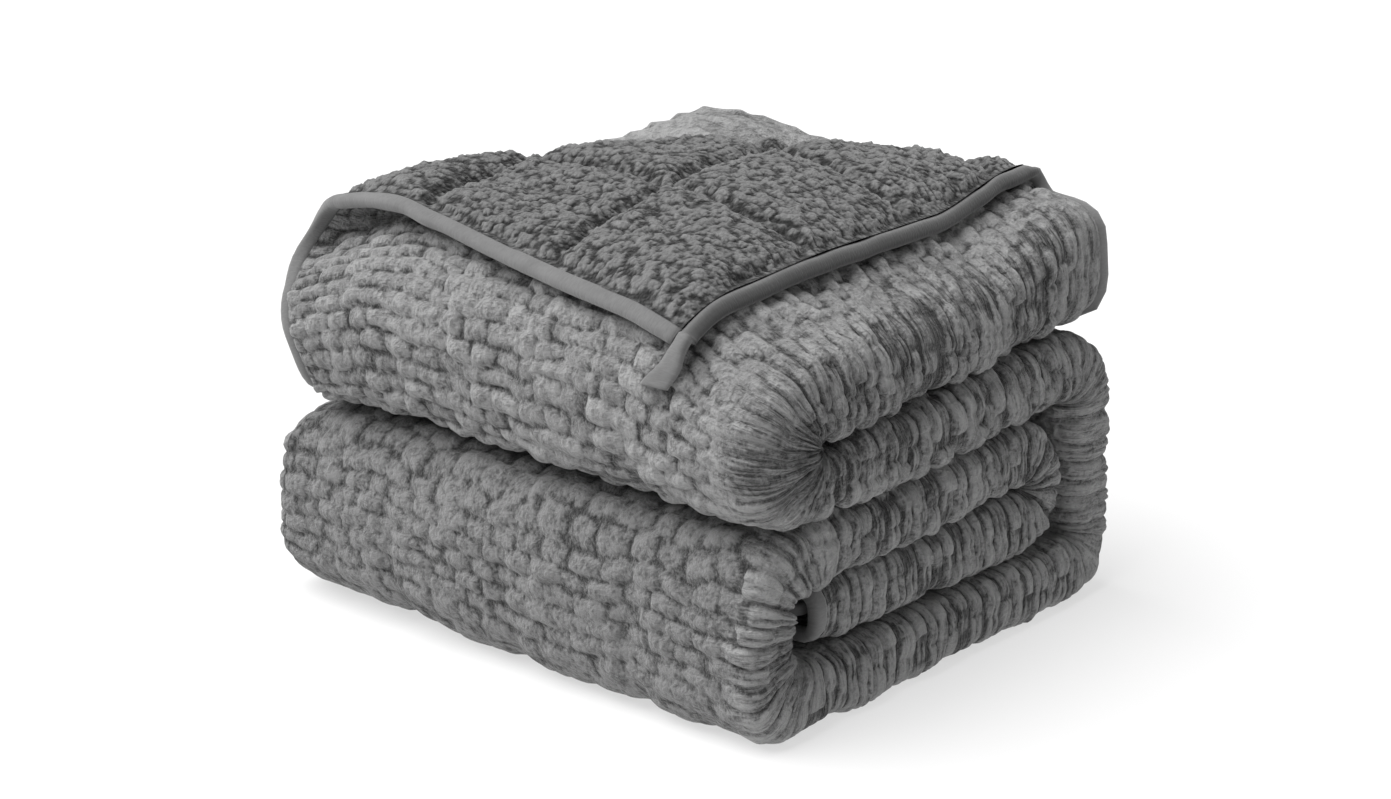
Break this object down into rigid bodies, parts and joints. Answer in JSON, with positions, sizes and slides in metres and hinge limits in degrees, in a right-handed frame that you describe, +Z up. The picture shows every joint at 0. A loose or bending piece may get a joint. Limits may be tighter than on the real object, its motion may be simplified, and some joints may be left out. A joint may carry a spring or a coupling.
{
  "type": "folded weighted blanket",
  "caption": "Quilted blanket with a basket-weave plush face, a curly sherpa back and a bound edge, folded into a bundle with one corner turned over.",
  "frame": {"origin": "on the surface that the folded blanket lies on, below the middle of its box", "axes": "+X from the left-hand end to the near corner, +Y from the near corner to the far one, +Z up"},
  "size_m": [0.5024, 0.4488, 0.3585],
  "materials": {
    "plush": "deep plush with a basket-weave relief",
    "sherpa": "curly sherpa pile",
    "binding": "smooth matt tape"
  },
  "bodies": {
    "root": {"plush_panel": "plush", "sherpa_panel": "sherpa", "edge_binding": "binding"}
  },
  "joints": []
}
